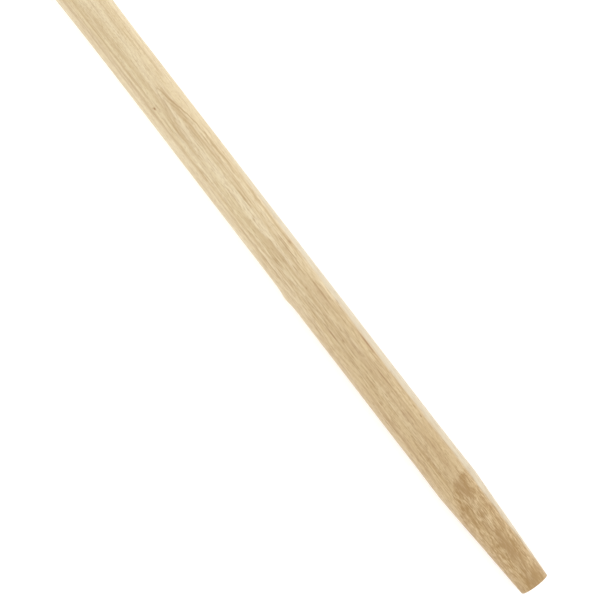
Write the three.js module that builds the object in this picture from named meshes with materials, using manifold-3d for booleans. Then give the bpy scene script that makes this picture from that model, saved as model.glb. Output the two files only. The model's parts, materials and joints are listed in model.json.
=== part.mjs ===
// Splitting maul with a straight, round wooden handle.
//
// A forged steel head, a wedge towards its cutting edge and eight-sided at its poll, is hung on the
// handle. The handle's top is an oval tongue that fills the head's drafted eye. A wooden wedge in a
// sawn slot spreads the tongue, and two barbed steel wedges are driven across the wooden one. The
// handle swells below the head, runs straight and round, and tapers to a plain cut at its butt.
//
// Units are millimetres. In the tool's own frame X runs down the handle from its top end, Y from the
// poll to the cutting edge, and Z through the cheeks. The exported group lays the tool on its side on
// a floor at Z = 0, with the origin under the middle of its box.

import * as THREE from 'three';
import { mergeVertices } from 'three/addons/utils/BufferGeometryUtils.js';
import Module from 'manifold-3d';

const wasm = await Module();
wasm.setup();

// ---- Driving dimensions ----

const HANDLE_LENGTH = 914; // 36 inches over all
const GRIP_DIAMETER = 35;
const TAPER_LENGTH = 100;
const BUTT_DIAMETER = 25;

const HEAD_LENGTH = 203; // 8 inches from poll face to cutting edge
const EYE_TO_POLL = 78; // from the middle of the eye to the poll's face
const POLL_ACROSS_FLATS = 58;
const CHEEK_THICKNESS = 59;
const WAIST_HEIGHT = 56; // the head's height at the eye, along the handle
const BIT_HEIGHT = 68; // the cutting edge, corner to corner

const EYE_LENGTH = 38.5; // mean of the drafted eye, along Y
const EYE_DRAFT = 1.5; // how much longer the eye is at its top than at its mean, and shorter below
const EYE_OVAL = 0.72; // width of the eye as a share of its length

const FIT_GAP = 0.3; // between two pieces that touch
const OPEN_END = 1; // how far a cut runs past the face that it opens in
const ROUND_SIDES = 32;

// ---- Places that follow from them ----

const HEAD_MIDDLE = BIT_HEIGHT / 2; // the cutting edge's upper corner is level with the handle's top
const HEAD_TOP = HEAD_MIDDLE - WAIST_HEIGHT / 2;
const HEAD_UNDERSIDE = HEAD_MIDDLE + WAIST_HEIGHT / 2;

const POLL_FACE_Y = -EYE_TO_POLL;
const POLL_CHAMFER = 3;
const POLL_BAND = 15; // the poll is a straight octagon this far back from its face
const POLL_TRIM = 1; // the head is this much higher than the octagon that trims its poll
const OCTAGON_AT_EYE = 42; // half across flats, where the octagon has run out past the cheeks' corners

const SHOULDER_Y = 16; // where the flat cheeks end and the wedge begins
const EDGE_Y = HEAD_LENGTH - EYE_TO_POLL;
const BEVEL_LENGTH = 12; // the ground cutting bevel
const BEVEL_Y = EDGE_Y - BEVEL_LENGTH;
const BEVEL_THICKNESS = 11;
const EDGE_THICKNESS = 1.2;
const EDGE_CROWN = 9; // how far the edge's corners fall back behind its middle
const WEDGE_BOW = 2.7; // how far the wedge's two faces together stand proud of straight
const CLEAR_OF_HEAD = 10; // the cut for the eye runs this far past both faces
const HEAD_SLICES = 14; // steps along the handle in the head's mesh

const SWELL_X = 100; // the handle is thickest here, below the head
const SWELL_WIDTH = 43;
const GRIP_X = 390; // round and straight from here
const TAPER_X = HANDLE_LENGTH - TAPER_LENGTH;
const SHOULDER_RISE = 0.3; // the handle stands this proud, all round, where the taper begins
const SHOULDER_RUN = 35;
const BUTT_CHAMFER = 1;

const WOODEN_WEDGE_DEPTH = 45;
const WOODEN_WEDGE_TOP = 7.5;
const WOODEN_WEDGE_TIP = 2;
const KERF_BEYOND_WEDGE = 4;

const STEEL_WEDGE_DEPTH = 30;
const STEEL_WEDGE_WIDTH = 20;
const STEEL_WEDGE_TOP = 4.4;
const STEEL_WEDGE_TIP = 1;
const STEEL_WEDGE_SUNK = 0.6; // below the handle's top
const STEEL_WEDGE_FROM_MIDDLE = 9.5;
const STEEL_WEDGE_SLANT = THREE.MathUtils.degToRad(22);
const BARBS = 3;
const BARB_HEIGHT = 0.35;

// ---- Materials ----

const ASH = new THREE.MeshStandardMaterial({ color: 0xdec9a5, roughness: 0.6 });
const POPLAR = new THREE.MeshStandardMaterial({ color: 0xcdb27f, roughness: 0.7 });
const PAINTED_STEEL = new THREE.MeshStandardMaterial({ color: 0x2b2d30, roughness: 0.5, metalness: 0.4 });
const BARE_STEEL = new THREE.MeshStandardMaterial({ color: 0x9a9a98, roughness: 0.4, metalness: 1 });

// ---- Geometry helpers ----

const X = new THREE.Vector3(1, 0, 0);
const Y = new THREE.Vector3(0, 1, 0);
const Z = new THREE.Vector3(0, 0, 1);

// A closed geometry as a solid that can be joined and cut.
function solid(geometry) {
  const bare = geometry.clone();
  bare.deleteAttribute('normal');
  bare.deleteAttribute('uv');
  const merged = mergeVertices(bare, 1e-4);
  return new wasm.Manifold(new wasm.Mesh({
    numProp: 3,
    vertProperties: merged.attributes.position.array,
    triVerts: new Uint32Array(merged.index.array),
  }));
}

// A solid as a named mesh.
function mesh(name, shape, material) {
  const { vertProperties, triVerts } = shape.getMesh();
  const geometry = new THREE.BufferGeometry();
  geometry.setAttribute('position', new THREE.BufferAttribute(vertProperties, 3));
  geometry.setIndex(new THREE.BufferAttribute(triVerts, 1));
  geometry.computeVertexNormals();
  const made = new THREE.Mesh(geometry, material);
  made.name = name;
  return made;
}

// Moves every vertex of a geometry by a function that changes a Vector3.
function reshape(geometry, move) {
  const places = geometry.attributes.position;
  const point = new THREE.Vector3();
  for (let i = 0; i < places.count; i++) {
    point.fromBufferAttribute(places, i);
    move(point);
    places.setXYZ(i, point.x, point.y, point.z);
  }
  return geometry;
}

// Extrudes a shape by depth, centred on its plane, with its axes turned to the three given.
function extrude(points, depth, steps, across, up, along) {
  const shape = new THREE.Shape(points);
  const geometry = new THREE.ExtrudeGeometry(shape, { depth, steps, bevelEnabled: false });
  geometry.translate(0, 0, -depth / 2);
  return geometry.applyMatrix4(new THREE.Matrix4().makeBasis(across, up, along));
}

// The share of the way from one value to another, eased at both ends.
const eased = THREE.MathUtils.smoothstep;
const between = THREE.MathUtils.lerp;
const share = THREE.MathUtils.inverseLerp;

// ---- The handle ----

const eyeLengthAt = (x) => EYE_LENGTH + EYE_DRAFT * (1 - 2 * share(HEAD_TOP, HEAD_UNDERSIDE, x));

// Width along Y of the handle at a distance from its top.
function handleWidth(x) {
  if (x <= HEAD_UNDERSIDE) return eyeLengthAt(x) - 2 * FIT_GAP;
  if (x <= SWELL_X) {
    const neck = handleWidth(HEAD_UNDERSIDE);
    return between(neck, SWELL_WIDTH, eased(x, HEAD_UNDERSIDE, SWELL_X));
  }
  if (x <= GRIP_X) return between(SWELL_WIDTH, GRIP_DIAMETER, eased(x, SWELL_X, GRIP_X));
  const rise = 2 * SHOULDER_RISE;
  if (x <= TAPER_X) return GRIP_DIAMETER + rise * eased(x, TAPER_X - SHOULDER_RUN, TAPER_X);
  return between(GRIP_DIAMETER + rise, BUTT_DIAMETER, share(TAPER_X, HANDLE_LENGTH, x));
}

// Thickness along Z of the handle at a distance from its top. The swell is oval: it is only wide.
function handleThickness(x) {
  if (x <= HEAD_UNDERSIDE) return EYE_OVAL * eyeLengthAt(x) - 2 * FIT_GAP;
  if (x <= SWELL_X) {
    const neck = handleThickness(HEAD_UNDERSIDE);
    return between(neck, GRIP_DIAMETER, eased(x, HEAD_UNDERSIDE, SWELL_X));
  }
  return x <= GRIP_X ? GRIP_DIAMETER : handleWidth(x);
}

// Distances from the top at which the handle needs a ring.
function handleRings() {
  const rings = [0, HEAD_TOP, HEAD_MIDDLE, HEAD_UNDERSIDE];
  const stretches = [
    [HEAD_UNDERSIDE, SWELL_X, 6],
    [SWELL_X, GRIP_X, 12],
    [GRIP_X, TAPER_X - SHOULDER_RUN, 4],
    [TAPER_X - SHOULDER_RUN, TAPER_X, 5],
    [TAPER_X, HANDLE_LENGTH - BUTT_CHAMFER, 3],
  ];
  for (const [from, to, count] of stretches) {
    for (let i = 1; i <= count; i++) rings.push(between(from, to, i / count));
  }
  return rings;
}

// The whole turned and shaved stick, before its slots are sawn.
function handleBlank() {
  const profile = handleRings().map((x) => new THREE.Vector2(handleWidth(x) / 2, x));
  profile.unshift(new THREE.Vector2(0, 0));
  profile.push(new THREE.Vector2(BUTT_DIAMETER / 2 - BUTT_CHAMFER, HANDLE_LENGTH));
  profile.push(new THREE.Vector2(0, HANDLE_LENGTH));
  const lathe = new THREE.LatheGeometry(profile, ROUND_SIDES);
  lathe.rotateZ(-Math.PI / 2);
  reshape(lathe, (point) => {
    point.z *= handleThickness(point.x) / handleWidth(point.x);
  });
  return solid(lathe);
}

// ---- The wedges ----

// A wedge's four-sided profile: its depth along X, and its thickness there.
function taperedProfile(depth, top, tip) {
  return [
    new THREE.Vector2(0, -top / 2),
    new THREE.Vector2(depth, -tip / 2),
    new THREE.Vector2(depth, tip / 2),
    new THREE.Vector2(0, top / 2),
  ];
}

// The wooden wedge's slab, or with a gap the slot that holds it, which is sawn a little deeper.
function woodenWedgeSlab(gap) {
  const depth = WOODEN_WEDGE_DEPTH + (gap ? KERF_BEYOND_WEDGE : 0);
  const top = WOODEN_WEDGE_TOP + 2 * gap;
  const tip = WOODEN_WEDGE_TIP + 2 * gap;
  const points = taperedProfile(depth, top, tip);
  if (gap) for (const i of [0, 3]) points[i].x = -OPEN_END;
  return solid(extrude(points, 2 * EYE_LENGTH, 1, X, Z, Y.clone().negate()));
}

// A steel wedge's outline, with steps on both faces that stop it backing out.
function barbedProfile() {
  const thicknessAt = (depth) => between(STEEL_WEDGE_TOP, STEEL_WEDGE_TIP, depth / STEEL_WEDGE_DEPTH);
  const edge = [new THREE.Vector2(0, STEEL_WEDGE_TOP / 2)];
  for (let i = 1; i <= BARBS; i++) {
    const depth = (i * STEEL_WEDGE_DEPTH) / (BARBS + 1);
    edge.push(new THREE.Vector2(depth, thicknessAt(depth) / 2 - BARB_HEIGHT));
    edge.push(new THREE.Vector2(depth, thicknessAt(depth) / 2));
  }
  edge.push(new THREE.Vector2(STEEL_WEDGE_DEPTH, STEEL_WEDGE_TIP / 2));
  const mirrored = edge.map((point) => new THREE.Vector2(point.x, -point.y));
  return [...mirrored, ...edge.reverse()];
}

function steelWedgeGeometry() {
  return extrude(barbedProfile(), STEEL_WEDGE_WIDTH, 1, X, Y, Z);
}

// The slot that a steel wedge cuts for itself, in the wedge's own frame.
function steelWedgeSlot() {
  const points = taperedProfile(
    STEEL_WEDGE_DEPTH + FIT_GAP,
    STEEL_WEDGE_TOP + 2 * FIT_GAP,
    STEEL_WEDGE_TIP + 2 * FIT_GAP,
  );
  for (const i of [0, 3]) points[i].x = -OPEN_END - STEEL_WEDGE_SUNK;
  return extrude(points, STEEL_WEDGE_WIDTH + 2 * FIT_GAP, 1, X, Y, Z);
}

// Puts an object where the steel wedge on one side of the eye goes: -1 is the poll's side, 1 the edge's.
function placeSteelWedge(object, side) {
  object.position.set(STEEL_WEDGE_SUNK, side * STEEL_WEDGE_FROM_MIDDLE, 0);
  object.rotation.x = STEEL_WEDGE_SLANT;
  object.updateMatrix();
  return object;
}

function steelWedge(name, side) {
  return placeSteelWedge(mesh(name, solid(steelWedgeGeometry()), BARE_STEEL), side);
}

function cutSteelWedgeSlots(shape) {
  return [-1, 1].reduce((left, side) => {
    const place = placeSteelWedge(new THREE.Object3D(), side).matrix;
    return left.subtract(solid(steelWedgeSlot().applyMatrix4(place)));
  }, shape);
}

// ---- The head ----

// Thickness along Z of the head at a place along Y.
function headThickness(y) {
  if (y <= SHOULDER_Y) return CHEEK_THICKNESS;
  if (y >= BEVEL_Y) return between(BEVEL_THICKNESS, EDGE_THICKNESS, share(BEVEL_Y, EDGE_Y, y));
  const along = share(SHOULDER_Y, BEVEL_Y, y);
  return between(CHEEK_THICKNESS, BEVEL_THICKNESS, along) + WEDGE_BOW * Math.sin(Math.PI * along);
}

// Height along X of the head at a place along Y.
function headHeight(y) {
  const poll = POLL_ACROSS_FLATS + POLL_TRIM;
  if (y < 0) return between(poll, WAIST_HEIGHT, eased(y, POLL_FACE_Y, -EYE_LENGTH / 2));
  return between(WAIST_HEIGHT, BIT_HEIGHT, eased(y, SHOULDER_Y, EDGE_Y));
}

// The forged body: a block with a ring of points at each of these places along Y, drawn out there to
// the head's height and thickness, with the cutting edge crowned.
function headBody() {
  const places = [POLL_FACE_Y];
  const stretches = [
    [POLL_FACE_Y, SHOULDER_Y, 8],
    [SHOULDER_Y, BEVEL_Y, 10],
    [BEVEL_Y, EDGE_Y, 2],
  ];
  for (const [from, to, count] of stretches) {
    for (let i = 1; i <= count; i++) places.push(between(from, to, i / count));
  }
  const rings = places.length - 1;
  const block = new THREE.BoxGeometry(2, rings, 2, HEAD_SLICES, rings, 2);
  block.translate(0, rings / 2, 0);
  reshape(block, (point) => {
    const y = places[Math.round(point.y)];
    const across = point.x; // from -1 to 1
    point.x = HEAD_MIDDLE + (across * headHeight(y)) / 2;
    point.y = y - EDGE_CROWN * across * across * eased(y, SHOULDER_Y, EDGE_Y);
    point.z *= headThickness(y) / 2;
  });
  return solid(block);
}

// An eight-sided bar that trims the poll to an octagon with a chamfered face, and widens towards the
// eye so that its slanting sides run out on the cheeks.
function pollOctagon() {
  const flat = POLL_ACROSS_FLATS / 2;
  const flats = [
    [POLL_FACE_Y, 0],
    [POLL_FACE_Y, flat - POLL_CHAMFER],
    [POLL_FACE_Y + POLL_CHAMFER, flat],
    [POLL_FACE_Y + POLL_BAND, flat],
    [0, OCTAGON_AT_EYE],
    [EDGE_Y + OPEN_END, OCTAGON_AT_EYE],
    [EDGE_Y + OPEN_END, 0],
  ];
  const toCorner = 1 / Math.cos(Math.PI / 8);
  const profile = flats.map(([y, half]) => new THREE.Vector2(half * toCorner, y));
  const bar = new THREE.LatheGeometry(profile, 8, Math.PI / 8);
  return solid(bar.translate(HEAD_MIDDLE, 0, 0));
}

// The oval eye right through the head, longer at its top.
function eyeHole() {
  const from = HEAD_TOP - CLEAR_OF_HEAD;
  const to = HEAD_UNDERSIDE + CLEAR_OF_HEAD;
  const below = eyeLengthAt(to) / 2;
  const above = eyeLengthAt(from) / 2;
  const hole = new THREE.CylinderGeometry(below, above, to - from, ROUND_SIDES);
  hole.rotateZ(-Math.PI / 2).translate((from + to) / 2, 0, 0);
  return solid(reshape(hole, (point) => {
    point.z *= EYE_OVAL;
  }));
}

function headSolid() {
  return headBody().intersect(pollOctagon()).subtract(eyeHole());
}

// ---- The assembly ----

const blank = handleBlank();

const tool = new THREE.Group();
tool.add(mesh('maul_head', headSolid(), PAINTED_STEEL));
tool.add(mesh('handle', cutSteelWedgeSlots(blank.subtract(woodenWedgeSlab(FIT_GAP))), ASH));
tool.add(mesh('wooden_wedge', cutSteelWedgeSlots(blank.intersect(woodenWedgeSlab(0))), POPLAR));
tool.add(steelWedge('steel_wedge_poll_side', -1));
tool.add(steelWedge('steel_wedge_edge_side', 1));

// Lying on its side, the tool touches the floor along the cheek's lower edge and where the taper begins.
const headReach = CHEEK_THICKNESS / 2;
const handleReach = handleThickness(TAPER_X) / 2;
tool.rotation.y = Math.atan2(headReach - handleReach, TAPER_X - HEAD_UNDERSIDE);

const box = new THREE.Box3().setFromObject(tool, true);
const middle = box.getCenter(new THREE.Vector3());
tool.position.set(-middle.x, -middle.y, -box.min.z);

const maul = new THREE.Group();
maul.add(tool);

export default maul;
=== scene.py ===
# Splitting maul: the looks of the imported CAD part, and a plain studio to see it in.
#
# The tool's own frame has X down the handle from its top end, Y from the poll to the cutting edge
# and Z through the cheeks. Every piece's mesh is made in that frame, in metres, and its object is
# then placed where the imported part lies. Material patterns are in the tool's frame too, in
# millimetres.

import json
import math

import bmesh
import bpy
from mathutils import Matrix, Vector, noise


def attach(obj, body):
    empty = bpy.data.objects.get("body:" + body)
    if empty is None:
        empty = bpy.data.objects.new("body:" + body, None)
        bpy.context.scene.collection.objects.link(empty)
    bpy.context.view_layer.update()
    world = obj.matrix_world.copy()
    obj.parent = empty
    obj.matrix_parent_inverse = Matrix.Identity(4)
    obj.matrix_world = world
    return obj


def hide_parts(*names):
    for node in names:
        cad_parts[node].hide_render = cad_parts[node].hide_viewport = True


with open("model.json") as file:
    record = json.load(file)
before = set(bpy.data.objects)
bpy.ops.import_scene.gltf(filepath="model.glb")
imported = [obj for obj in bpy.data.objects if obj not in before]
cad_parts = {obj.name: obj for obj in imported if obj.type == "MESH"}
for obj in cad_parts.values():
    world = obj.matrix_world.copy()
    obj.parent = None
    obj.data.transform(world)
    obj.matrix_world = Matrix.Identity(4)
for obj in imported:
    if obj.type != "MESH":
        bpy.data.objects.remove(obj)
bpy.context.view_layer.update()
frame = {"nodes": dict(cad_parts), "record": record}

MM = 0.001
MOUNTS = {mount["name"]: mount for mount in frame["record"]["mounts"]}

# ---- Sizes, in metres, as the CAD part has them ----

HANDLE_LENGTH = 0.914
GRIP_RADIUS = 0.0175
BUTT_RADIUS = 0.0125
SWELL_HALF_WIDTH = 0.0215
SWELL_X = 0.100
GRIP_X = 0.390
TAPER_LENGTH = 0.100
TAPER_X = HANDLE_LENGTH - TAPER_LENGTH
SHOULDER_RISE = 0.0003  # the handle stands this proud where the taper begins
SHOULDER_RUN = 0.035

HEAD_MIDDLE = 0.034
WAIST_HALF_HEIGHT = 0.028
BIT_HALF_HEIGHT = 0.034
HEAD_TOP = HEAD_MIDDLE - WAIST_HALF_HEIGHT
HEAD_UNDERSIDE = HEAD_MIDDLE + WAIST_HALF_HEIGHT
CHEEK_HALF_THICKNESS = 0.0295
POLL_HALF_WIDTH = 0.029
POLL_Y = -0.078
POLL_CHAMFER = 0.003
POLL_BAND = 0.015  # the poll is a straight octagon this far back from its face
POLL_TRIM = 0.0005
OCTAGON_AT_EYE = 0.042  # half across the flats, at Y = 0
SHOULDER_Y = 0.016  # where the flat cheeks end and the wedge begins
EDGE_Y = 0.125
BEVEL_LENGTH = 0.012
BEVEL_Y = EDGE_Y - BEVEL_LENGTH
BEVEL_HALF_THICKNESS = 0.0055
EDGE_HALF_THICKNESS = 0.0004  # finer than the CAD part's, which is left blunt
EDGE_CROWN = 0.009  # how far the edge's corners fall back behind its middle
WEDGE_BOW = 0.00135

EYE_HALF_LENGTH = 0.01925
EYE_DRAFT = 0.00075  # how much longer that is at the top, and shorter at the underside
EYE_OVAL = 0.72  # the eye's width as a share of its length
EYE_RIM = 0.0012
CAD_GAP = 0.0003
CLOSE_FIT = 0.0001  # the gap round the wedges, closer than the CAD part's


# ---- The tool's frame in the row's frame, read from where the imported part's butt is ----


def tool_placement():
    down = Vector(MOUNTS["butt_face"]["axis"]).normalized()
    across = Vector((0, 1, 0))
    through = down.cross(across)
    top = Vector(MOUNTS["butt_face"]["pos_m"]) - HANDLE_LENGTH * down
    turn = Matrix((down, across, through)).transposed().to_4x4()
    return Matrix.Translation(top) @ turn


PLACE = tool_placement()


# ---- Small helpers ----


def clamp(value, low=0.0, high=1.0):
    return max(low, min(high, value))


def between(a, b, share):
    return a + (b - a) * share


def eased(value, low, high):
    share = clamp((value - low) / (high - low))
    return share * share * (3 - 2 * share)


def steps(low, high, spacing):
    """Places from low up to, but without, high, about one spacing apart."""
    count = max(1, round((high - low) / spacing))
    return [between(low, high, i / count) for i in range(count)]


def unevenness(point, size, seed):
    """Smooth noise from -1 to 1, with waves of about this size in metres."""
    return noise.noise(Vector(point) / size + Vector((seed, 2.7 * seed, -1.3 * seed)))


def closed_lofts(rings):
    """A bmesh skin through rings of equally many points, closed by a fan at each end."""
    made = bmesh.new()
    loops = [[made.verts.new(point) for point in ring] for ring in rings]
    for lower, upper in zip(loops, loops[1:]):
        for i, vert in enumerate(lower):
            following = (i + 1) % len(lower)
            made.faces.new((vert, lower[following], upper[following], upper[i]))
    for loop in (loops[0], loops[-1]):
        middle = made.verts.new(sum((v.co for v in loop), Vector()) / len(loop))
        for i, vert in enumerate(loop):
            made.faces.new((vert, loop[(i + 1) % len(loop)], middle))
    bmesh.ops.recalc_face_normals(made, faces=made.faces)
    return made


def mesh_object(name, shape):
    mesh = bpy.data.meshes.new(name)
    shape.to_mesh(mesh)
    shape.free()
    made = bpy.data.objects.new(name, mesh)
    bpy.context.scene.collection.objects.link(made)
    return made


def apply_modifiers(piece):
    """Replaces the piece's mesh by what its modifiers make of it."""
    graph = bpy.context.evaluated_depsgraph_get()
    graph.update()
    final = bpy.data.meshes.new_from_object(piece.evaluated_get(graph))
    piece.modifiers.clear()
    piece.data = final


def cut(piece, cutter):
    """Takes the cutter's shape out of the piece, and removes the cutter."""
    difference = piece.modifiers.new("cut", "BOOLEAN")
    difference.operation = "DIFFERENCE"
    difference.solver = "EXACT"
    difference.object = cutter
    apply_modifiers(piece)
    bpy.data.objects.remove(cutter)


def smooth_shaded(piece, sharp_degrees):
    piece.data.shade_smooth()
    piece.data.set_sharp_from_angle(angle=math.radians(sharp_degrees))


def finish_piece(piece, node, material):
    """Puts a piece made in the tool's frame in place of its CAD node."""
    piece.data.materials.clear()
    piece.data.materials.append(material)
    piece.matrix_world = PLACE
    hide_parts(node)
    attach(piece, "root")


# ---- The handle's shape ----

BOW = 0.0004  # how far the handle bows away from straight, towards the poll's side
BOW_X = 0.730
BOW_RETURN = 0.6  # the share of the bow that is gone again at the butt
NUB_X = 0.613  # a small raised nub left by the turning, on the poll's side
NUB_HEIGHT = 0.0010
NUB_HALF_LENGTH = 0.0065
NUB_HALF_WIDTH = 0.0030
TOOL_WAVES = 0.00010
TOOL_WAVE_SIZE = 0.012
TOOL_WAVE_STRETCH = 4  # they are this many times longer along the handle
TOP_EDGE = 0.0009  # how far the top end's edge is rounded
BUTT_EDGE = (0.0006, 0.0016)  # the same at the butt, on the cutting edge's side and on the poll's
SAW_MARKS = 0.00008
SAW_MARK_SIZE = 0.004
HANDLE_SIDES = 128
CROWN_RINGS = 6
FINE_STEP = 0.00025
LONG_STEP = 0.002
TONGUE_STEP = 0.004


def eye_half_length(x):
    return EYE_HALF_LENGTH + EYE_DRAFT * (1 - 2 * (x - HEAD_TOP) / (HEAD_UNDERSIDE - HEAD_TOP))


def handle_half_width(x):
    if x <= HEAD_UNDERSIDE:
        return eye_half_length(x) - CAD_GAP
    if x <= SWELL_X:
        neck = handle_half_width(HEAD_UNDERSIDE)
        return between(neck, SWELL_HALF_WIDTH, eased(x, HEAD_UNDERSIDE, SWELL_X))
    if x <= GRIP_X:
        return between(SWELL_HALF_WIDTH, GRIP_RADIUS, eased(x, SWELL_X, GRIP_X))
    if x <= TAPER_X:
        return GRIP_RADIUS + SHOULDER_RISE * eased(x, TAPER_X - SHOULDER_RUN, TAPER_X)
    share = (x - TAPER_X) / (HANDLE_LENGTH - TAPER_X)
    return between(GRIP_RADIUS + SHOULDER_RISE, BUTT_RADIUS, share)


def handle_half_thickness(x):
    if x <= HEAD_UNDERSIDE:
        return EYE_OVAL * eye_half_length(x) - CAD_GAP
    if x <= SWELL_X:
        neck = handle_half_thickness(HEAD_UNDERSIDE)
        return between(neck, GRIP_RADIUS, eased(x, HEAD_UNDERSIDE, SWELL_X))
    return GRIP_RADIUS if x <= GRIP_X else handle_half_width(x)


def end_setback(x, angle):
    """How far the surface draws in near the two cut ends, whose edges are eased unevenly."""
    butt_edge = between(*BUTT_EDGE, 0.5 - 0.5 * math.cos(angle))
    from_top = TOP_EDGE - x
    from_butt = butt_edge - (HANDLE_LENGTH - x)
    depth = 0.0
    for reach, size in ((from_top, TOP_EDGE), (from_butt, butt_edge)):
        if reach > 0:
            depth += size - math.sqrt(max(0.0, size * size - reach * reach))
    return depth


def handle_point(x, angle):
    side = math.cos(angle)
    lift = math.sin(angle)
    around = GRIP_RADIUS * (angle - math.pi)
    nub = math.exp(-(((x - NUB_X) / NUB_HALF_LENGTH) ** 2) - (around / NUB_HALF_WIDTH) ** 2)
    out = NUB_HEIGHT * nub - end_setback(x, angle)
    if x > HEAD_UNDERSIDE:
        drawn_out = (x / TOOL_WAVE_STRETCH, GRIP_RADIUS * side, GRIP_RADIUS * lift)
        out += TOOL_WAVES * unevenness(drawn_out, TOOL_WAVE_SIZE, 3)
    bow = -BOW * eased(x, GRIP_X, BOW_X) * (1 - BOW_RETURN * eased(x, BOW_X, HANDLE_LENGTH))
    return Vector((
        x,
        (handle_half_width(x) + out) * side + bow,
        (handle_half_thickness(x) + out) * lift,
    ))


def handle_mesh():
    top_rounding = 0.001
    before_taper = TAPER_X - 0.010
    butt_rounding = HANDLE_LENGTH - 0.002
    places = steps(0, top_rounding, FINE_STEP)
    places += steps(top_rounding, HEAD_UNDERSIDE, TONGUE_STEP)
    places += steps(HEAD_UNDERSIDE, before_taper, LONG_STEP)
    places += steps(before_taper, butt_rounding, LONG_STEP / 2)
    places += steps(butt_rounding, HANDLE_LENGTH, FINE_STEP)
    places.append(HANDLE_LENGTH)
    angles = [math.tau * i / HANDLE_SIDES for i in range(HANDLE_SIDES)]
    rings = [[handle_point(x, angle) for angle in angles] for x in places]
    shares = [i / CROWN_RINGS for i in range(1, CROWN_RINGS)]
    top = [end_ring(rings[0], share, -1) for share in shares]
    butt = [end_ring(rings[-1], share, 1) for share in shares]
    return mesh_object("wooden_handle", closed_lofts(top[::-1] + rings + butt))


def end_ring(rim, inward, outward):
    """A smaller copy of an end's rim, for the sawn end face, which is a little uneven."""
    middle = sum(rim, Vector()) / len(rim)
    ring = [point.lerp(middle, inward) for point in rim]
    for point in ring:
        point.x -= outward * SAW_MARKS * (1 + unevenness(point, SAW_MARK_SIZE, 9))
    return ring


# ---- The wedges' slots in the handle ----

WOODEN_WEDGE_DEPTH = 0.045
WOODEN_WEDGE_HALF_TOP = 0.00375
WOODEN_WEDGE_HALF_TIP = 0.001
KERF_BEYOND_WEDGE = 0.004
STEEL_WEDGE_DEPTH = 0.030
STEEL_WEDGE_HALF_WIDTH = 0.010
STEEL_WEDGE_HALF_TOP = 0.0022
STEEL_WEDGE_HALF_TIP = 0.0005
STEEL_WEDGE_SUNK = 0.0006
STEEL_WEDGE_FROM_MIDDLE = 0.0095
STEEL_WEDGE_SLANT = math.radians(22)
OPEN_END = 0.001  # how far a cutter runs past the face that it opens in


def tapered_slot(depth, half_top, half_tip, half_width, start):
    """A cutter that narrows along X from start to depth. Its thin way is Y and its width is Z."""
    outline = [
        Vector((start, half_top, 0)),
        Vector((depth, half_tip, 0)),
        Vector((depth, -half_tip, 0)),
        Vector((start, -half_top, 0)),
    ]
    sides = [[p + Vector((0, 0, z)) for p in outline] for z in (-half_width, half_width)]
    return mesh_object("slot", closed_lofts(sides))


def wooden_wedge_slot():
    """The sawn slot, which runs right across the tongue and past the wedge's tip."""
    slot = tapered_slot(
        WOODEN_WEDGE_DEPTH + KERF_BEYOND_WEDGE,
        WOODEN_WEDGE_HALF_TOP + CLOSE_FIT,
        WOODEN_WEDGE_HALF_TIP + CLOSE_FIT,
        2 * EYE_HALF_LENGTH,
        -OPEN_END,
    )
    slot.data.transform(Matrix.Rotation(math.pi / 2, 4, "X"))
    return slot


def steel_wedge_place(side):
    shift = Matrix.Translation((STEEL_WEDGE_SUNK, side * STEEL_WEDGE_FROM_MIDDLE, 0))
    return shift @ Matrix.Rotation(STEEL_WEDGE_SLANT, 4, "X")


def steel_wedge_slot(side):
    slot = tapered_slot(
        STEEL_WEDGE_DEPTH + CLOSE_FIT,
        STEEL_WEDGE_HALF_TOP + CLOSE_FIT,
        STEEL_WEDGE_HALF_TIP + CLOSE_FIT,
        STEEL_WEDGE_HALF_WIDTH + CLOSE_FIT,
        -OPEN_END - STEEL_WEDGE_SUNK,
    )
    slot.data.transform(steel_wedge_place(side))
    return slot


def make_handle(material):
    piece = handle_mesh()
    for slot in (wooden_wedge_slot(), steel_wedge_slot(-1), steel_wedge_slot(1)):
        cut(piece, slot)
    smooth_shaded(piece, 35)
    finish_piece(piece, "handle", material)
    return piece


# ---- The head's shape ----

CORNER_CUT = 0.0016  # the forging's long corners are at least this blunt
CORNER_SHARE = 0.35  # and they take up at most this share of a thin section
CORNER_ROUND = 0.0024
ROUND_SHARE = 0.41  # how far the rounding reaches along a flat, as a share of its size
CREASE = 0.004  # how far the forging's creases are softened
CRISP_CREASE = 0.0003  # and the ground bevel's
CHAMFER_SOFTNESS = 0.0004
DIE_WAVES = 0.00035
DIE_WAVE_SIZE = 0.016
DIE_RIPPLE_SIZE = 0.006
WORN_CORNER = (0.015, 0.09)  # how much a point stands out where wear starts, and where it is full
WEAR_SPREAD = 2  # edges of the mesh that wear reaches out from a corner
WEAR_KEPT = 0.7  # the share of it that is left after each
EYE_SIDES = 96
EYE_CLEARANCE = 0.010
CHEEK_SEGMENTS = 14
TOP_SEGMENTS = 10
CORNER_SEGMENTS = 2
HEAD_STEP = 0.0015
BEVEL_STEP = 0.001


def octagon_half(y):
    """Half across the flats of the octagon that trims the poll."""
    band_end = POLL_Y + POLL_BAND
    if y <= band_end:
        return POLL_HALF_WIDTH
    return between(POLL_HALF_WIDTH, OCTAGON_AT_EYE, clamp((y - band_end) / -band_end))


def head_half_thickness(y):
    if y <= SHOULDER_Y:
        return min(CHEEK_HALF_THICKNESS, octagon_half(y))
    if y >= BEVEL_Y:
        share = (y - BEVEL_Y) / (EDGE_Y - BEVEL_Y)
        return between(BEVEL_HALF_THICKNESS, EDGE_HALF_THICKNESS, share)
    along = (y - SHOULDER_Y) / (BEVEL_Y - SHOULDER_Y)
    straight = between(CHEEK_HALF_THICKNESS, BEVEL_HALF_THICKNESS, along)
    return straight + WEDGE_BOW * math.sin(math.pi * along)


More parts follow.
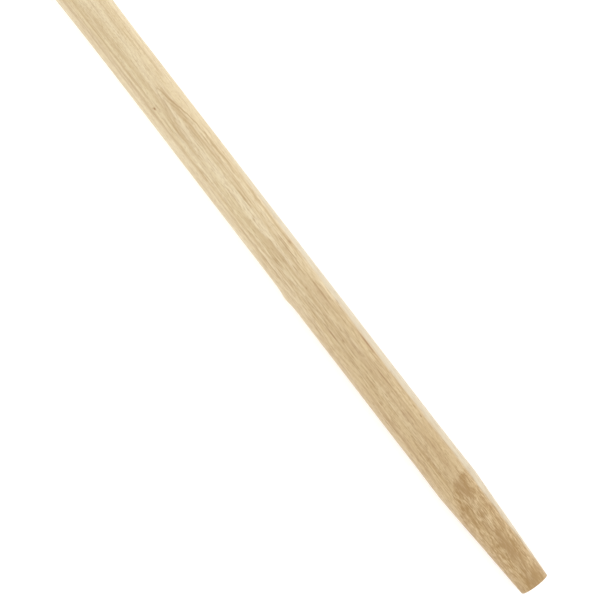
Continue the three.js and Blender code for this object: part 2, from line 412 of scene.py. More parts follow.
def head_half_height(y):
    if y < 0:
        share = eased(y, POLL_Y, -EYE_HALF_LENGTH)
        height = between(POLL_HALF_WIDTH + POLL_TRIM, WAIST_HALF_HEIGHT, share)
        return min(height, octagon_half(y))
    return between(WAIST_HALF_HEIGHT, BIT_HALF_HEIGHT, eased(y, SHOULDER_Y, EDGE_Y))


def softened(measure, y, reach):
    """The mean of a measure over a short stretch, which rounds the forging's creases."""
    reach = min(reach, abs(BEVEL_Y - y), y - POLL_Y)
    shares = [i / 3 for i in range(-3, 4)]
    return sum(measure(y + reach * share) for share in shares) / len(shares)


def head_section(y):
    """Half height, half thickness and corner cut of the head at a place along Y."""
    height = softened(head_half_height, y, CREASE)
    thickness = softened(head_half_thickness, y, CREASE)
    octagon = softened(octagon_half, y, CREASE)
    blunt = min(CORNER_CUT, CORNER_SHARE * thickness)
    trim = height + thickness - math.sqrt(2) * octagon
    return height, thickness, max(blunt, trim)


def rounded_octagon(height, thickness, corner):
    """Points round a section, with X and Z from its middle: corner, cheek, corner, top or underside."""
    h, t, c = height, thickness, corner
    outline = [
        (h, t - c), (h - c, t), (c - h, t), (-h, t - c),
        (-h, c - t), (c - h, -t), (h - c, -t), (h, c - t),
    ]
    outline = [Vector((x, 0, z)) for x, z in outline]
    counts = [CORNER_SEGMENTS, CHEEK_SEGMENTS, CORNER_SEGMENTS, TOP_SEGMENTS] * 2
    reach = ROUND_SHARE * min(CORNER_ROUND, corner)
    points = []
    for i, vertex in enumerate(outline):
        before = (outline[i - 1] - vertex).normalized() * reach
        after = (outline[(i + 1) % 8] - vertex).normalized() * reach
        points += [vertex + before, vertex + 0.25 * (before + after), vertex + after]
        start = vertex + after
        following = outline[(i + 1) % 8]
        end = following + (vertex - following).normalized() * reach
        points += [start.lerp(end, k / counts[i]) for k in range(1, counts[i])]
    return points


def crowned(point, y, height):
    """Moves a section's point to its place on the head."""
    fall = EDGE_CROWN * (point.x / height) ** 2 * eased(y, SHOULDER_Y, EDGE_Y)
    return Vector((HEAD_MIDDLE + point.x, y - fall, point.z))


def forged_unevenness(point, y):
    """Pulls the forged skin in and out a little, but not the ground poll and bevel."""
    off_poll = eased(y, POLL_Y + POLL_BAND, POLL_Y + 2 * POLL_BAND)
    off_bevel = 1 - eased(y, BEVEL_Y - 0.01, BEVEL_Y)
    lift = unevenness(point, DIE_WAVE_SIZE, 5) + 0.4 * unevenness(point, DIE_RIPPLE_SIZE, 6)
    outward = Vector((point.x - HEAD_MIDDLE, 0, point.z)).normalized()
    return point + DIE_WAVES * off_poll * off_bevel * lift * outward


def head_rings():
    """The head's sections from the middle of its poll face to its cutting edge."""
    rings = []
    for inset, y in poll_profile():
        height, thickness, corner = head_section(max(y, POLL_Y + POLL_CHAMFER))
        smaller_corner = corner - inset * (2 - math.sqrt(2))
        ring = rounded_octagon(height - inset, thickness - inset, smaller_corner)
        rings.append([crowned(point, y, height) for point in ring])
    bevel_start = BEVEL_Y - CRISP_CREASE
    bevel_face = BEVEL_Y + CRISP_CREASE
    places = steps(POLL_Y + POLL_CHAMFER, bevel_start, HEAD_STEP)
    places += [bevel_start, BEVEL_Y]
    places += steps(bevel_face, EDGE_Y, BEVEL_STEP)
    places.append(EDGE_Y)
    for y in places:
        height, thickness, corner = head_section(y)
        ring = [crowned(p, y, height) for p in rounded_octagon(height, thickness, corner)]
        rings.append([forged_unevenness(point, y) for point in ring])
    return rings


def poll_profile():
    """Inset and place of each ring from the middle of the poll's face to its chamfer's far edge."""
    face = [(POLL_HALF_WIDTH * share, POLL_Y) for share in (0.9, 0.7, 0.5, 0.3, 0.2)]
    soft = CHAMFER_SOFTNESS
    chamfer = [
        (POLL_CHAMFER + soft, POLL_Y),
        (POLL_CHAMFER - 0.2 * soft, POLL_Y + 0.2 * soft),
        (POLL_CHAMFER - soft, POLL_Y + soft),
        (soft, POLL_Y + POLL_CHAMFER - soft),
    ]
    return face + chamfer


def eye_cutter():
    """The drafted oval eye, flared at both faces so that its rims are eased."""
    stations = [
        (HEAD_TOP - EYE_CLEARANCE, EYE_RIM + EYE_CLEARANCE),
        (HEAD_TOP + EYE_RIM, 0),
        (HEAD_UNDERSIDE - EYE_RIM, 0),
        (HEAD_UNDERSIDE + EYE_CLEARANCE, EYE_RIM + EYE_CLEARANCE),
    ]
    angles = [math.tau * i / EYE_SIDES for i in range(EYE_SIDES)]
    rings = []
    for x, flare in stations:
        half_length = eye_half_length(clamp(x, HEAD_TOP, HEAD_UNDERSIDE))
        along = half_length + flare
        across = EYE_OVAL * half_length + flare
        rings.append([Vector((x, along * math.cos(a), across * math.sin(a))) for a in angles])
    return mesh_object("eye_cutter", closed_lofts(rings))


def sharpness(shape):
    """How far each point of a bmesh stands out from its neighbours, evened out a little."""
    values = []
    for vertex in shape.verts:
        lean = [(vertex.co - edge.other_vert(vertex).co).normalized() for edge in vertex.link_edges]
        values.append(vertex.normal.dot(sum(lean, Vector())) / len(lean))
    neighbours = [[edge.other_vert(v).index for edge in v.link_edges] for v in shape.verts]
    for _ in range(WEAR_SPREAD):
        sharpest = [max(values[k] for k in near) for near in neighbours]
        values = [max(own, WEAR_KEPT * other) for own, other in zip(values, sharpest)]
    return values


def mark_wear(piece):
    """Writes how deep each point is in the ground areas, in mm, and how near a sharp corner."""
    shape = bmesh.new()
    shape.from_mesh(piece.data)
    shape.verts.index_update()
    shape.normal_update()
    corners = sharpness(shape)
    shape.free()
    ground = piece.data.attributes.new("ground", "FLOAT", "POINT")
    corner = piece.data.attributes.new("corner", "FLOAT", "POINT")
    for i, vertex in enumerate(piece.data.vertices):
        x, y, z = vertex.co
        across = (x - HEAD_MIDDLE) / BIT_HALF_HEIGHT
        y += EDGE_CROWN * across * across * eased(y, SHOULDER_Y, EDGE_Y)
        ground.data[i].value = max(y - BEVEL_Y, POLL_Y + POLL_CHAMFER - y) / MM
        corner.data[i].value = eased(corners[i], *WORN_CORNER)


def make_head(material):
    piece = mesh_object("forged_head", closed_lofts(head_rings()))
    cut(piece, eye_cutter())
    mark_wear(piece)
    smooth_shaded(piece, 28)
    finish_piece(piece, "maul_head", material)
    return piece


# ---- The wedges, from their CAD solids with the edges eased ----

EASED_EDGE = 0.00025


def make_eased_copy(node, name, material):
    """A copy of a CAD node in the tool's frame, with flat faces made whole and edges rounded."""
    shape = bmesh.new()
    shape.from_mesh(frame["nodes"][node].data)
    bmesh.ops.transform(shape, matrix=PLACE.inverted(), verts=shape.verts)
    bmesh.ops.remove_doubles(shape, verts=shape.verts, dist=1e-6)
    flat = math.radians(2)
    bmesh.ops.dissolve_limit(shape, angle_limit=flat, verts=shape.verts, edges=shape.edges)
    piece = mesh_object(name, shape)
    bevel = piece.modifiers.new("eased_edges", "BEVEL")
    bevel.width = EASED_EDGE
    bevel.segments = 2
    bevel.limit_method = "ANGLE"
    bevel.angle_limit = math.radians(30)
    bevel.use_clamp_overlap = True
    apply_modifiers(piece)
    smooth_shaded(piece, 40)
    finish_piece(piece, node, material)
    return piece


# ---- Building materials out of nodes ----


def add(tree, kind, inputs=None, **settings):
    """A node with its settings. An input is given a value, or is linked where it is a socket."""
    made = tree.nodes.new(kind)
    for name, value in settings.items():
        setattr(made, name, value)
    for name, value in (inputs or {}).items():
        if isinstance(value, bpy.types.NodeSocket):
            tree.links.new(value, made.inputs[name])
        else:
            made.inputs[name].default_value = value
    return made


def calc(tree, operation, *values):
    return add(tree, "ShaderNodeMath", dict(enumerate(values)), operation=operation).outputs[0]


def product(tree, first, *others):
    for other in others:
        first = calc(tree, "MULTIPLY", first, other)
    return first


def shifted(tree, value, noise, amount):
    """The value plus this amount of the noise."""
    return calc(tree, "MULTIPLY_ADD", noise, amount, value)


def centred(tree, noise):
    """Noise from 0 to 1, moved to lie evenly about 0."""
    return calc(tree, "SUBTRACT", noise, 0.5)


def coordinates(tree, place):
    parts = add(tree, "ShaderNodeSeparateXYZ", {0: place}).outputs
    return parts["X"], parts["Y"], parts["Z"]


def scaled(tree, vector, factors):
    inputs = {0: vector, 1: factors}
    return add(tree, "ShaderNodeVectorMath", inputs, operation="MULTIPLY").outputs[0]


def distance(tree, place, point, factors):
    """How far a place is from a point, with the way there multiplied by these factors."""
    inputs = {0: place, 1: point}
    offset = add(tree, "ShaderNodeVectorMath", inputs, operation="SUBTRACT").outputs[0]
    inputs = {0: scaled(tree, offset, factors)}
    return add(tree, "ShaderNodeVectorMath", inputs, operation="LENGTH").outputs["Value"]


def noise_of(tree, vector, detail=2.0, roughness=0.5, shift=(0, 0, 0)):
    moved = add(tree, "ShaderNodeVectorMath", {0: vector, 1: shift}, operation="ADD").outputs[0]
    inputs = {"Vector": moved, "Scale": 1.0, "Detail": detail, "Roughness": roughness}
    return add(tree, "ShaderNodeTexNoise", inputs).outputs["Fac"]


def even_noise(tree, place, waves_per_mm, detail=2.0, roughness=0.5):
    """Noise of the same size in every direction."""
    waves = (waves_per_mm, waves_per_mm, waves_per_mm)
    return noise_of(tree, scaled(tree, place, waves), detail, roughness)


def noise_of_value(tree, value, detail=2.0, roughness=0.5):
    inputs = {"W": value, "Scale": 1.0, "Detail": detail, "Roughness": roughness}
    return add(tree, "ShaderNodeTexNoise", inputs, noise_dimensions="1D").outputs["Fac"]


def range_of(tree, value, low, high, to_low=0.0, to_high=1.0):
    """The value's share of the way from low to high, eased and clamped, between two results."""
    inputs = {"Value": value, "From Min": low, "From Max": high}
    inputs.update({"To Min": to_low, "To Max": to_high})
    node = add(tree, "ShaderNodeMapRange", inputs, interpolation_type="SMOOTHSTEP")
    return node.outputs["Result"]


def mix_values(tree, share, a, b):
    return add(tree, "ShaderNodeMix", {0: share, 2: a, 3: b}).outputs[0]


def mix(tree, share, a, b, blend="MIX"):
    """A mix of two colours."""
    inputs = {0: share, 6: a, 7: b}
    return add(tree, "ShaderNodeMix", inputs, data_type="RGBA", blend_type=blend).outputs[2]


def layered(tree, base, layers):
    """A colour with others laid over it one after another, each where its mask is."""
    for shade, mask in layers:
        base = mix(tree, mask, base, shade)
    return base


def bump(tree, height, strength, depth):
    """A normal for a surface whose height differs by up to this depth, in metres."""
    inputs = {"Height": height, "Strength": strength, "Distance": depth}
    return add(tree, "ShaderNodeBump", inputs).outputs["Normal"]


def colour(red, green, blue):
    """A colour given as it looks on a screen, from 0 to 255, as the linear one that nodes take."""
    parts = []
    for part in (red, green, blue):
        part /= 255
        parts.append(part / 12.92 if part <= 0.04045 else ((part + 0.055) / 1.055) ** 2.4)
    return (*parts, 1.0)


def new_material(name):
    """A material, its node tree, its shader and the tool-frame coordinates in millimetres."""
    material = bpy.data.materials.new(name)
    material.use_nodes = True
    tree = material.node_tree
    shader = tree.nodes["Principled BSDF"]
    place = add(tree, "ShaderNodeTexCoord").outputs["Object"]
    return material, tree, shader, scaled(tree, place, (1 / MM, 1 / MM, 1 / MM))


# ---- Wood ----

PALE_WOOD = colour(232, 215, 178)
MAIN_WOOD = colour(226, 207, 166)
GRAIN_WOOD = colour(199, 171, 124)
DARK_WOOD = colour(174, 139, 91)
SAPWOOD_AND_SIDE_HIGHLIGHT = colour(217, 204, 178)
# The paler strip's colour: partly paler sapwood, partly a painted highlight along the cutting edge's
# side.
DEEP_WOOD = colour(160, 116, 70)
CUT_PALE = colour(215, 189, 144)
CUT_MAIN = colour(202, 172, 125)
CUT_DARK = colour(164, 127, 69)
BUTT_DARKENING_TINT = colour(235, 225, 209)  # what the lower half of the handle is darkened by
POPLAR_PALE = colour(196, 160, 112)
POPLAR_GRAIN = colour(160, 122, 78)
POPLAR_PORES = colour(112, 80, 48)

PITH_Y = -14.0  # the tree's middle, seen from the handle's, in mm
PITH_Z = -105.0
ARCH_X = 415.0  # where a growth ring leaves the surface, which draws nested points there
ARCH_Y = 2.2
ARCH_RUN = 46.0
ARCH_SPREAD = 8.5
ARCH_SPACING = 2.4
ARCH_END = 540.0
ARCH_WANDER = 3.4
RINGS_PER_MM = 0.55  # on the handle's surface, and the next on its end
END_RINGS_PER_MM = 0.62
RING_WANDER = 7.0
COARSER_GRAIN = (430.0, 640.0)  # fine grain and pores show more from the first X to the second
DARKER_TOWARDS_BUTT = (520.0, 790.0)  # the wood darkens from the first X to the second
THREADS = (0.54, 0.68)  # the part of a noise's range that draws thin dark threads
CUT_EDGE_X = TAPER_X / MM - 12.0  # where the taper's darker wood can begin
CUT_EDGE_Y = 2.0  # its edge curves away to the butt on the poll's side of here
CUT_EDGE_CURVE = 0.13
CUT_EDGE_POWER = 1.9
CUT_EDGE_FRAY = 9.0
# The paler strip on the cutting edge's side: partly sapwood, partly a painted highlight along that
# side.
PALE_STRIP_X = (480.0, 700.0)
PALE_STRIP_Y = (12.7, 10.3)  # where the paler strip's edge is, up to the first X and from the second
PALE_STRIP_FRAY = 4.0

# Short marks on the upper side: place along and across, half length and half width in mm, strength.
PINS_AND_STREAKS = (
    (431, -8.7, 1.3, 0.8, 1.0),
    (579, 11.9, 1.8, 0.9, 0.7),
    (639, 13.2, 2.2, 0.9, 0.7),
    (680, 11.4, 15.0, 0.8, 1.0),
    (657, -6.3, 7.0, 0.6, 0.6),
    (630, 6.5, 16.0, 2.6, 0.3),
    (744, 0.5, 5.0, 2.8, 0.22),
)
# Long darker bands, given the same way.
BANDS = (
    (420, -11.3, 75.0, 1.3, 0.65),
    (350, -13.0, 70.0, 1.2, 0.55),
    (385, -8.2, 45.0, 0.8, 0.45),
    (385, 12.3, 28.0, 1.1, 0.5),
    (540, 12.4, 22.0, 0.9, 0.5),
    (560, -12.3, 60.0, 1.2, 0.4),
    (665, -6.5, 40.0, 0.9, 0.45),
    (740, -12.0, 60.0, 1.5, 0.4),
)
# Stains on the upper side of the taper, given the same way.
STAINS = (
    (815, 1.0, 9.0, 6.0, 1.0),
    (833, -7.0, 10.0, 2.4, 0.9),
    (877, 2.0, 17.0, 5.0, 1.0),
    (908, 2.0, 8.0, 9.5, 1.0),
)


def grain(tree, place, length, width, detail=2.0, roughness=0.5, seed=0.0):
    """Noise drawn out along the handle, about this long and wide in mm."""
    stretched = scaled(tree, place, (1 / length, 1 / width, 1 / width))
    return noise_of(tree, stretched, detail, roughness, (seed, seed, seed))


def from_pith(tree, place):
    return distance(tree, place, (0, PITH_Y, PITH_Z), (0, 1, 1))


def ring_lines(tree, place):
    """Thin darker latewood lines, at uneven distances from the pith, wandering along the handle."""
    wander = grain(tree, place, 160, 50, detail=1.0)
    rings = shifted(tree, from_pith(tree, place), wander, RING_WANDER)
    bands = noise_of_value(tree, product(tree, rings, RINGS_PER_MM), detail=2.0, roughness=0.6)
    return range_of(tree, bands, 0.50, 0.66)


def pointed_arches(tree, place):
    """Nested points on the upper side that open towards the butt, then run along the handle."""
    along, across, up = coordinates(tree, place)
    inputs = {"Value": along, "From Min": ARCH_X, "From Max": ARCH_X + ARCH_RUN}
    inputs["To Max"] = ARCH_SPREAD
    spread = add(tree, "ShaderNodeMapRange", inputs).outputs["Result"]
    from_middle = calc(tree, "ABSOLUTE", calc(tree, "SUBTRACT", across, ARCH_Y))
    wander = grain(tree, place, 14, 3.5, detail=3.0, roughness=0.6)
    depth = calc(tree, "SUBTRACT", spread, from_middle)
    depth = shifted(tree, depth, centred(tree, wander), ARCH_WANDER)
    to_line = calc(tree, "PINGPONG", depth, ARCH_SPACING / 2)
    lines = range_of(tree, to_line, 0.9, 0.1, 0.0, 0.8)
    inside = range_of(tree, depth, -0.8, -0.5)
    outermost = range_of(tree, depth, 3.0, 0.6, 0.4, 1.0)
    started = range_of(tree, along, ARCH_X - 3, ARCH_X + 12)
    faded = range_of(tree, along, ARCH_END, ARCH_X + ARCH_RUN)
    upper = range_of(tree, up, 4.0, 9.0)
    one_sided = range_of(tree, across, ARCH_Y - 3, ARCH_Y + 1, 0.35, 1.0)
    return product(tree, lines, inside, outermost, started, faded, upper, one_sided)


def marks(tree, place, listed, raggedness):
    """Soft spots on the handle's upper side, as one mask."""
    ragged = grain(tree, place, 8, 1.2, detail=4.0, roughness=0.6)
    total = 0.0
    for x, y, half_length, half_width, strength in listed:
        radius = handle_half_width(x * MM) / MM
        z = math.sqrt(max(0.0, radius * radius - y * y))
        sizes = (1 / half_length, 1 / half_width, 1 / half_width)
        reach = shifted(tree, distance(tree, place, (x, y, z), sizes), ragged, raggedness)
        spot = range_of(tree, reach, 1.5 + raggedness, 0.3, 0.0, strength)
        total = calc(tree, "MAXIMUM", total, spot)
    return total


def taper_mask(tree, place):
    """1 on the taper, whose edge curves away to the butt on the poll's side, and 0 above it."""
    along, across, _ = coordinates(tree, place)
    to_poll = calc(tree, "MAXIMUM", calc(tree, "SUBTRACT", CUT_EDGE_Y, across), 0.0)
    curve = calc(tree, "POWER", to_poll, CUT_EDGE_POWER)
    edge = shifted(tree, CUT_EDGE_X, curve, CUT_EDGE_CURVE)
    edge = shifted(tree, edge, grain(tree, place, 6, 1.6, detail=3.0), CUT_EDGE_FRAY)
    return range_of(tree, calc(tree, "SUBTRACT", along, edge), -1.5, 2.0)


def sapwood_and_side_highlight(tree, place):
    """1 in the paler strip down the lower handle on the cutting edge's side, and 0 elsewhere."""
    # The strip is partly paler sapwood and partly a painted highlight along that side.
    along, across, _ = coordinates(tree, place)
    edge = range_of(tree, along, *PALE_STRIP_X, *PALE_STRIP_Y)
    fray = grain(tree, place, 30, 1.5, detail=4.0, roughness=0.65)
    edge = shifted(tree, edge, fray, PALE_STRIP_FRAY)
    strip = range_of(tree, calc(tree, "SUBTRACT", across, edge), -0.8, 1.2)
    return product(tree, strip, range_of(tree, along, 460, 560))


def shaft_colour(tree, place, fibres, pores):
    """The handle above its taper, with its palest wood first and its darkest marks last."""
    along, _, _ = coordinates(tree, place)
    patches = grain(tree, place, 70, 5.0, seed=4.0)
    streaks = grain(tree, place, 60, 2.6, seed=9.0)
    hairlines = grain(tree, place, 30, 0.6, detail=3.0, roughness=0.6, seed=13.0)
    flecks = grain(tree, place, 2.4, 1.0, detail=1.0, seed=17.0)
    coarser = range_of(tree, along, *COARSER_GRAIN, 0.5, 1.0)
    coarser_fibres = range_of(tree, along, *COARSER_GRAIN, 0.65, 0.95)
    lines = product(tree, ring_lines(tree, place), range_of(tree, streaks, 0.35, 0.65, 0.1, 0.5))
    bands = product(tree, marks(tree, place, BANDS, 0.5), range_of(tree, fibres, 0.3, 0.6, 0.5, 1.0))
    arches = product(tree, pointed_arches(tree, place), range_of(tree, fibres, 0.35, 0.6, 0.45, 1.0))
    spots = marks(tree, place, PINS_AND_STREAKS, 0.3)
    tone = layered(tree, PALE_WOOD, (
        (MAIN_WOOD, range_of(tree, patches, 0.34, 0.62)),
        (GRAIN_WOOD, range_of(tree, streaks, 0.50, 0.72, 0.0, 0.4)),
        (GRAIN_WOOD, lines),
        (DARK_WOOD, bands),
        (GRAIN_WOOD, product(tree, range_of(tree, fibres, 0.49, 0.70), coarser_fibres)),
        (GRAIN_WOOD, range_of(tree, flecks, 0.52, 0.74, 0.0, 0.5)),
        (DARK_WOOD, product(tree, range_of(tree, hairlines, *THREADS), coarser)),
        (DARK_WOOD, arches),
        (DARK_WOOD, product(tree, range_of(tree, pores, *THREADS), coarser)),
    ))
    # The colour is multiplied darker towards the butt.
    darker_lower_half = mix(tree, 1.0, tone, BUTT_DARKENING_TINT, "MULTIPLY")
    return layered(tree, tone, (
        (darker_lower_half, range_of(tree, along, *DARKER_TOWARDS_BUTT)),
        (DEEP_WOOD, product(tree, spots, range_of(tree, fibres, 0.25, 0.55, 0.5, 1.0))),
    ))


def cut_colour(tree, place, fibres, pores):
    """The taper, where the turning cuts across the fibres and the wood is darker and mottled."""
    mottle = grain(tree, place, 9.0, 2.6, detail=4.0, roughness=0.65, seed=2.0)
    torn = grain(tree, place, 11.0, 0.7, detail=3.0, roughness=0.65, seed=21.0)
    stains = marks(tree, place, STAINS, 0.8)
    depth = shifted(tree, mottle, centred(tree, torn), 0.9)
    depth = shifted(tree, depth, centred(tree, fibres), 0.7)
    depth = shifted(tree, depth, stains, 0.12)
    return layered(tree, CUT_PALE, (
        (CUT_MAIN, range_of(tree, depth, 0.32, 0.58)),
        (CUT_DARK, range_of(tree, depth, 0.46, 0.72)),
        (CUT_DARK, product(tree, stains, 0.6)),
        (CUT_DARK, range_of(tree, pores, 0.47, 0.59)),
    ))


def end_colour(tree, place):
    """The sawn top end, with the growth rings as arcs and the pores as dots."""
    rings = product(tree, from_pith(tree, place), END_RINGS_PER_MM)
    arcs = noise_of_value(tree, rings, detail=1.0)
    dots = grain(tree, place, 1.0, 0.32, detail=1.0, seed=7.0)
    return layered(tree, MAIN_WOOD, (
        (GRAIN_WOOD, range_of(tree, arcs, 0.40, 0.62)),
        (DARK_WOOD, range_of(tree, dots, 0.54, 0.66, 0.0, 0.8)),
    ))


def handle_wood():
    material, tree, shader, place = new_material("handle_wood")
    along, _, _ = coordinates(tree, place)
    fibres = grain(tree, place, 14, 0.9, detail=5.0, roughness=0.72)
    pores = grain(tree, place, 6.0, 0.45, detail=3.0, roughness=0.6, seed=5.0)
    # The paler strip: partly sapwood, partly a painted highlight along the cutting edge's side.
    paler = product(tree, sapwood_and_side_highlight(tree, place), range_of(tree, fibres, 0.40, 0.70, 0.9, 0.4))
    wood = layered(tree, shaft_colour(tree, place, fibres, pores), (
        (cut_colour(tree, place, fibres, pores), product(tree, taper_mask(tree, place), 0.95)),
        (SAPWOOD_AND_SIDE_HIGHLIGHT, paler),
        (end_colour(tree, place), range_of(tree, along, 0.9, 0.3)),
    ))
    tree.links.new(wood, shader.inputs["Base Color"])
    tree.links.new(range_of(tree, fibres, 0.3, 0.7, 0.48, 0.64), shader.inputs["Roughness"])
    shader.inputs["Coat Weight"].default_value = 0.6
    shader.inputs["Coat Roughness"].default_value = 0.45
    relief = shifted(tree, product(tree, fibres, -1.0), pores, -0.6)
    tree.links.new(bump(tree, relief, 0.2, 0.0002), shader.inputs["Normal"])
    return material


def wedge_wood():
    material, tree, shader, place = new_material("wedge_wood")
    streaks = noise_of(tree, scaled(tree, place, (0.08, 0.9, 2.4)), detail=4.0, roughness=0.6)
    pores = noise_of(tree, scaled(tree, place, (0.5, 5.0, 5.0)), detail=1.0)
    wood = layered(tree, POPLAR_PALE, (
        (POPLAR_GRAIN, range_of(tree, streaks, 0.3, 0.7)),
        (POPLAR_PORES, range_of(tree, pores, 0.58, 0.7, 0.0, 0.6)),
    ))
    tree.links.new(wood, shader.inputs["Base Color"])
    shader.inputs["Roughness"].default_value = 0.72
    tree.links.new(bump(tree, streaks, 0.4, 0.0004), shader.inputs["Normal"])
    return material


# ---- Steel ----

ENAMEL = colour(34, 36, 39)
FADED_ENAMEL = colour(50, 52, 55)
ENAMEL_SPECKS = colour(74, 75, 77)
RUBBED_ENAMEL = colour(104, 105, 107)
WORN_STEEL = colour(112, 110, 107)
GROUND_STEEL = colour(154, 153, 151)
GROUND_SHINE = colour(188, 187, 184)
HAMMERED_STEEL = colour(160, 159, 156)
HAMMERED_DENTS = colour(132, 130, 127)

ACROSS_LINES = 2.2  # waves per mm
ALONG_LINES = 0.05


def grinding_lines(tree, place):
    """Fine lines that run out to the edge on the bevel, and along the handle on the poll."""
    bevel_waves = (ACROSS_LINES, ALONG_LINES, ALONG_LINES)
    poll_waves = (ALONG_LINES, ACROSS_LINES, ACROSS_LINES)
    on_bevel = noise_of(tree, scaled(tree, place, bevel_waves), detail=3.0, roughness=0.6)
    on_poll = noise_of(tree, scaled(tree, place, poll_waves), detail=3.0, roughness=0.6)
    _, across, _ = coordinates(tree, place)
    return mix_values(tree, range_of(tree, across, -1, 1), on_poll, on_bevel)


def enamel_colour(tree, place, corner, chips, speck):
    """Dark enamel, specked by the forged skin below it and rubbed paler at the corners."""
    cloud = even_noise(tree, place, 0.05, detail=3.0)
    rubbed = product(tree, corner, range_of(tree, chips, 0.35, 0.65), 0.6)
    return layered(tree, ENAMEL, (
        (FADED_ENAMEL, range_of(tree, cloud, 0.3, 0.7)),
        (ENAMEL_SPECKS, range_of(tree, speck, 0.55, 0.75, 0.0, 0.5)),
        (RUBBED_ENAMEL, rubbed),
    ))


def head_steel():
    """Enamelled steel, worn through at the corners, and bare where the head is ground."""
    material, tree, shader, place = new_material("head_steel")
    ground = add(tree, "ShaderNodeAttribute", attribute_name="ground").outputs["Fac"]
    corner = add(tree, "ShaderNodeAttribute", attribute_name="corner").outputs["Fac"]
    chips = even_noise(tree, place, 0.22, detail=5.0, roughness=0.6)
    speck = even_noise(tree, place, 1.6, detail=3.0)
    pits = even_noise(tree, place, 0.35, detail=5.0, roughness=0.6)
    lines = grinding_lines(tree, place)

    ragged = shifted(tree, ground, centred(tree, chips), 2.0)
    freshly_ground = range_of(tree, ragged, -0.06, 0.06)
    worn = range_of(tree, shifted(tree, chips, corner, 0.30), 0.76, 0.82)
    bare = calc(tree, "MAXIMUM", freshly_ground, worn)

    polished = mix(tree, range_of(tree, lines, 0.34, 0.66), GROUND_STEEL, GROUND_SHINE)
    steel = mix(tree, freshly_ground, WORN_STEEL, polished)
    enamel = enamel_colour(tree, place, corner, chips, speck)
    tree.links.new(mix(tree, bare, enamel, steel), shader.inputs["Base Color"])
    tree.links.new(bare, shader.inputs["Metallic"])
    enamel_rough = range_of(tree, speck, 0.3, 0.7, 0.32, 0.48)
    steel_rough = range_of(tree, lines, 0.38, 0.62, 0.22, 0.40)
    rough = mix_values(tree, bare, enamel_rough, steel_rough)
    tree.links.new(rough, shader.inputs["Roughness"])

    forged = bump(tree, shifted(tree, pits, speck, 0.2), 0.4, 0.0008)
    scratched = bump(tree, lines, 0.25, 0.0002)
    normals = {0: bare, 4: forged, 5: scratched}
    normal = add(tree, "ShaderNodeMix", normals, data_type="VECTOR").outputs[1]
    tree.links.new(normal, shader.inputs["Normal"])
    return material


def wedge_steel():
    """Bare steel, dented by the hammer that drove it."""
    material, tree, shader, place = new_material("wedge_steel")
    dents = noise_of(tree, scaled(tree, place, (0.25, 0.4, 0.4)), detail=3.0)
    fine = even_noise(tree, place, 4.0)
    steel = mix(tree, range_of(tree, dents, 0.35, 0.7), HAMMERED_STEEL, HAMMERED_DENTS)
    tree.links.new(steel, shader.inputs["Base Color"])
    shader.inputs["Metallic"].default_value = 1.0
    tree.links.new(range_of(tree, fine, 0.3, 0.7, 0.30, 0.48), shader.inputs["Roughness"])
    tree.links.new(bump(tree, dents, 0.5, 0.0005), shader.inputs["Normal"])
    return material


# ---- The pieces ----

make_head(head_steel())
make_handle(handle_wood())
make_eased_copy("wooden_wedge", "poplar_wedge", wedge_wood())
bare_steel = wedge_steel()
for side in ("poll_side", "edge_side"):
    make_eased_copy(f"steel_wedge_{side}", f"barbed_wedge_{side}", bare_steel)


# ---- The studio ----

FLOOR_HALF = 8.0
FLOOR_TONES = (0.84, 0.86)
FLOOR_GLOW = 0.38  # the floor gives off a little light itself, as a light table does
TOOL_MIDDLE = (0, 0, 0.03)
SUN_PLACE = (0.3, 0.25, 2.0)
SUN_STRENGTH = 1.48
SUN_SOFTNESS = math.radians(70)
STRIP_X = 0.1
STRIP_DISTANCE = 1.5
STRIP_HEIGHT = 0.45
STRIP_SIZE = (2.4, 0.5)
STRIP_WATTS = 3.4
HORIZON_LIGHT = 1.0
ZENITH_LIGHT = 0.40


def make_floor():
    shape = bmesh.new()
    bmesh.ops.create_grid(shape, x_segments=1, y_segments=1, size=FLOOR_HALF)
    floor = mesh_object("studio_floor", shape)
    material, tree, shader, place = new_material("studio_floor")
    darker, lighter = ((tone, tone, tone, 1) for tone in FLOOR_TONES)
    shade = mix(tree, even_noise(tree, place, 0.01), darker, lighter)
    tree.links.new(shade, shader.inputs["Base Color"])
    shader.inputs["Roughness"].default_value = 0.9
    shader.inputs["Specular IOR Level"].default_value = 0.0
    shader.inputs["Emission Color"].default_value = (1, 1, 1, 1)
    shader.inputs["Emission Strength"].default_value = FLOOR_GLOW
    floor.data.materials.append(material)


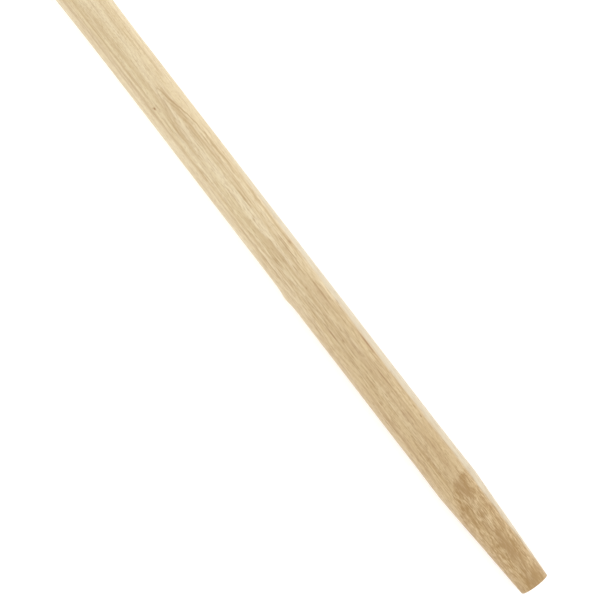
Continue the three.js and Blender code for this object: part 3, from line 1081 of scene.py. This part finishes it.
def make_lamp(name, kind, energy, place):
    """A lamp that the camera doesn't see, aimed at the tool's middle."""
    lamp = bpy.data.lights.new(name, kind)
    lamp.energy = energy
    holder = bpy.data.objects.new(name, lamp)
    holder.location = place
    aim = Vector(TOOL_MIDDLE) - Vector(place)
    holder.rotation_euler = aim.to_track_quat("-Z", "Y").to_euler()
    holder.visible_camera = False
    bpy.context.scene.collection.objects.link(holder)
    return lamp


def make_soft_sun():
    """The overhead light: even over the whole floor, and as soft as a large screen's."""
    sun = make_lamp("overhead", "SUN", SUN_STRENGTH, SUN_PLACE)
    sun.angle = SUN_SOFTNESS


def make_strip(name, y):
    """A long low light beside the tool, along the handle."""
    strip = make_lamp(name, "AREA", STRIP_WATTS, (STRIP_X, y, STRIP_HEIGHT))
    strip.shape = "RECTANGLE"
    strip.size, strip.size_y = STRIP_SIZE


def make_world():
    """White light all round, which weakens towards the zenith."""
    world = bpy.data.worlds.new("studio")
    world.use_nodes = True
    tree = world.node_tree
    direction = add(tree, "ShaderNodeTexCoord").outputs["Generated"]
    _, _, height = coordinates(tree, direction)
    strength = range_of(tree, height, 0.05, 0.75, HORIZON_LIGHT, ZENITH_LIGHT)
    backdrop = tree.nodes["Background"]
    backdrop.inputs["Color"].default_value = (1, 1, 1, 1)
    tree.links.new(strength, backdrop.inputs["Strength"])
    bpy.context.scene.world = world


CAMERA_HEIGHT = 1.95  # above the handle's axis
CAMERA_X = 0.6206  # down the handle from its top
CAMERA_Y = -0.0099
CAMERA_TURN = math.radians(52.38)  # how the handle lies in the picture
LENS_MM = 147.12
SENSOR_MM = 36


def make_camera():
    """A camera straight above the handle."""
    camera = bpy.data.cameras.new("studio_camera")
    camera.sensor_width = SENSOR_MM
    camera.lens = LENS_MM
    holder = bpy.data.objects.new("studio_camera", camera)
    above = Matrix.Translation((CAMERA_X, CAMERA_Y, CAMERA_HEIGHT))
    holder.matrix_world = PLACE @ above @ Matrix.Rotation(CAMERA_TURN, 4, "Z")
    bpy.context.scene.collection.objects.link(holder)
    bpy.context.scene.camera = holder


make_floor()
make_world()
make_soft_sun()
make_strip("edge_side_strip", STRIP_DISTANCE)
make_strip("poll_side_strip", -STRIP_DISTANCE)
make_camera()

scene = bpy.context.scene
scene.view_settings.view_transform = "Standard"
scene.view_settings.look = "None"


bpy.context.view_layer.update()
